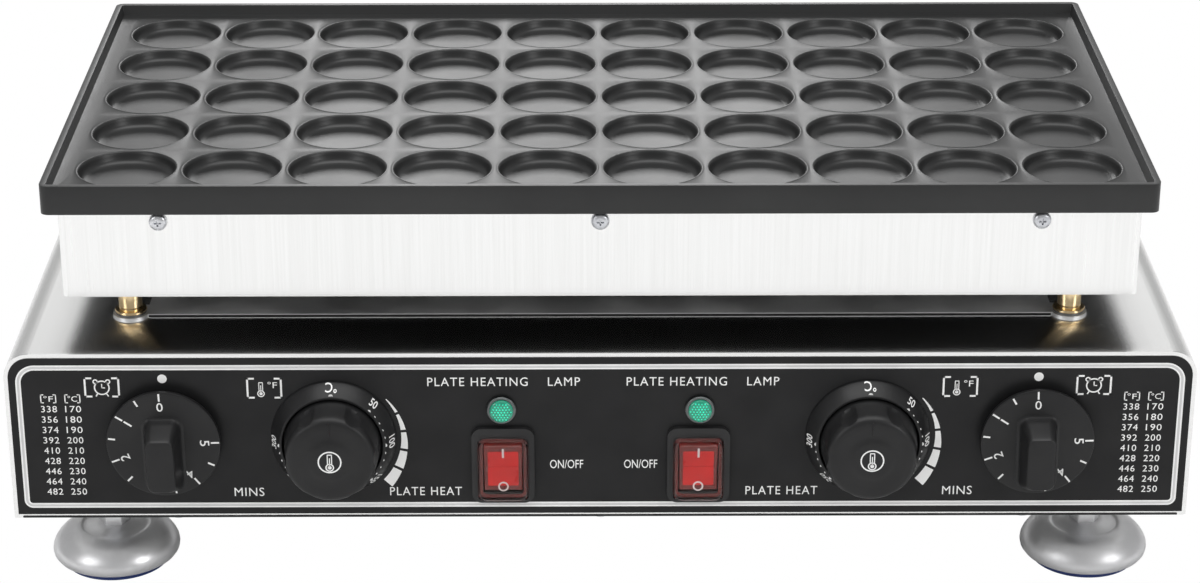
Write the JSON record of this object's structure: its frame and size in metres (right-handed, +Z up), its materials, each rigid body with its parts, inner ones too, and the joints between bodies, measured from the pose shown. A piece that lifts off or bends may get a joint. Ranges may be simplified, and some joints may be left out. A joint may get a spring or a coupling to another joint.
{
  "type": "mini pancake machine",
  "caption": "Counter-top mini pancake machine: flat tray of shallow round wells on a heater box, brass pillars, steel base with knobs, rocker switches and screw feet.",
  "frame": {"origin": "on the floor under the centre of the machine's bounding box", "axes": "+X along the control panel to the operator's right, +Y from the operator towards the rear panel, +Z up"},
  "size_m": [0.553, 0.374, 0.2],
  "materials": {
    "nonstick_casting": "satin non-stick coating on cast aluminium",
    "steel": "brushed stainless sheet",
    "bright_steel": "polished steel",
    "zinc": "zinc plated steel",
    "element_sheath": "heat-darkened alloy sheath",
    "copper": "drawn copper",
    "brass": "turned brass",
    "fibre": "ceramic fibre mat",
    "overlay": "black printed sheet with white marks",
    "knob_plastic": "moulded black plastic with white marks",
    "black_plastic": "moulded black plastic",
    "red_plastic": "red moulded plastic",
    "clear_cover": "clear soft cover",
    "green_lens": "green faceted lens",
    "blue_pad": "blue soft pad"
  },
  "bodies": {
    "machine": {"baking_tray": "nonstick_casting", "heater_box": "steel", "insulation_blanket": "fibre", "heating_element_left": "element_sheath", "heating_element_right": "element_sheath", "element_clamps": "steel", "clamp_screws": "zinc", "sensor_left": "copper", "sensor_right": "copper", "tray_screws": "zinc", "heat_shield": "steel", "brass_pillars": "brass", "pillar_nuts": "zinc", "wire_ducts": "steel", "base_shell": "steel", "front_panel": "steel", "panel_overlay": "overlay", "rear_panel": "steel", "bottom_plate": "steel", "panel_screws": "zinc", "cable_gland": "black_plastic", "gland_nut": "black_plastic", "terminal_block": "black_plastic", "timer_body_left": "zinc", "thermostat_dial_left": "knob_plastic", "thermostat_body_left": "zinc", "lamp_lens_left": "green_lens", "lamp_housing_left": "bright_steel", "switch_housing_left": "black_plastic", "switch_cover_left": "clear_cover", "timer_body_right": "zinc", "thermostat_dial_right": "knob_plastic", "thermostat_body_right": "zinc", "lamp_lens_right": "green_lens", "lamp_housing_right": "bright_steel", "switch_housing_right": "black_plastic", "switch_cover_right": "clear_cover"},
    "timer_dial_left": {"timer_knob_left": "knob_plastic", "timer_shaft_left": "zinc"},
    "thermostat_grip_left": {"thermostat_knob_left": "knob_plastic", "thermostat_shaft_left": "zinc"},
    "switch_rocker_left": {"rocker_left": "red_plastic"},
    "timer_dial_right": {"timer_knob_right": "knob_plastic", "timer_shaft_right": "zinc"},
    "thermostat_grip_right": {"thermostat_knob_right": "knob_plastic", "thermostat_shaft_right": "zinc"},
    "switch_rocker_right": {"rocker_right": "red_plastic"},
    "foot_front_left": {"foot_bell_front_left": "bright_steel", "foot_pad_front_left": "blue_pad"},
    "stud_front_left": {"foot_stud_front_left": "zinc"},
    "foot_front_right": {"foot_bell_front_right": "bright_steel", "foot_pad_front_right": "blue_pad"},
    "stud_front_right": {"foot_stud_front_right": "zinc"},
    "foot_rear_left": {"foot_bell_rear_left": "bright_steel", "foot_pad_rear_left": "blue_pad"},
    "stud_rear_left": {"foot_stud_rear_left": "zinc"},
    "foot_rear_right": {"foot_bell_rear_right": "bright_steel", "foot_pad_rear_right": "blue_pad"},
    "stud_rear_right": {"foot_stud_rear_right": "zinc"}
  },
  "joints": [
    {"name": "timer_left_turn", "type": "hinge", "parent": "machine", "child": "timer_dial_left", "pos_m": [-0.2033, -0.165, 0.0842], "axis": [0, 1, 0], "range_deg": [0, 270]},
    {"name": "thermostat_left_turn", "type": "hinge", "parent": "machine", "child": "thermostat_grip_left", "pos_m": [-0.1247, -0.1625, 0.0842], "axis": [0, 1, 0], "range_deg": [0, 270]},
    {"name": "switch_left_rock", "type": "hinge", "parent": "machine", "child": "switch_rocker_left", "pos_m": [-0.0457, -0.1585, 0.0697], "axis": [-1, 0, 0], "range_deg": [0, 16]},
    {"name": "timer_right_turn", "type": "hinge", "parent": "machine", "child": "timer_dial_right", "pos_m": [0.2033, -0.165, 0.0842], "axis": [0, 1, 0], "range_deg": [0, 270]},
    {"name": "thermostat_right_turn", "type": "hinge", "parent": "machine", "child": "thermostat_grip_right", "pos_m": [0.1247, -0.1625, 0.0842], "axis": [0, 1, 0], "range_deg": [0, 270]},
    {"name": "switch_right_rock", "type": "hinge", "parent": "machine", "child": "switch_rocker_right", "pos_m": [0.0457, -0.1585, 0.0697], "axis": [-1, 0, 0], "range_deg": [0, 16]},
    {"name": "stud_front_left_slide", "type": "slide", "parent": "machine", "child": "stud_front_left", "axis": [0, 0, -1], "range_m": [0, 0.012]},
    {"name": "foot_front_left_turn", "type": "hinge", "parent": "stud_front_left", "child": "foot_front_left", "pos_m": [-0.236, -0.1195, 0], "axis": [0, 0, -1], "range_deg": [0, 2880]},
    {"name": "stud_front_right_slide", "type": "slide", "parent": "machine", "child": "stud_front_right", "axis": [0, 0, -1], "range_m": [0, 0.012]},
    {"name": "foot_front_right_turn", "type": "hinge", "parent": "stud_front_right", "child": "foot_front_right", "pos_m": [0.236, -0.1195, 0], "axis": [0, 0, -1], "range_deg": [0, 2880]},
    {"name": "stud_rear_left_slide", "type": "slide", "parent": "machine", "child": "stud_rear_left", "axis": [0, 0, -1], "range_m": [0, 0.012]},
    {"name": "foot_rear_left_turn", "type": "hinge", "parent": "stud_rear_left", "child": "foot_rear_left", "pos_m": [-0.236, 0.1195, 0], "axis": [0, 0, -1], "range_deg": [0, 2880]},
    {"name": "stud_rear_right_slide", "type": "slide", "parent": "machine", "child": "stud_rear_right", "axis": [0, 0, -1], "range_m": [0, 0.012]},
    {"name": "foot_rear_right_turn", "type": "hinge", "parent": "stud_rear_right", "child": "foot_rear_right", "pos_m": [0.236, 0.1195, 0], "axis": [0, 0, -1], "range_deg": [0, 2880]}
  ],
  "couplings": [
    {"joint": "stud_front_left_slide", "follows": "foot_front_left_turn", "m_per_rad": 0.00023873},
    {"joint": "stud_front_right_slide", "follows": "foot_front_right_turn", "m_per_rad": 0.00023873},
    {"joint": "stud_rear_left_slide", "follows": "foot_rear_left_turn", "m_per_rad": 0.00023873},
    {"joint": "stud_rear_right_slide", "follows": "foot_rear_right_turn", "m_per_rad": 0.00023873}
  ]
}
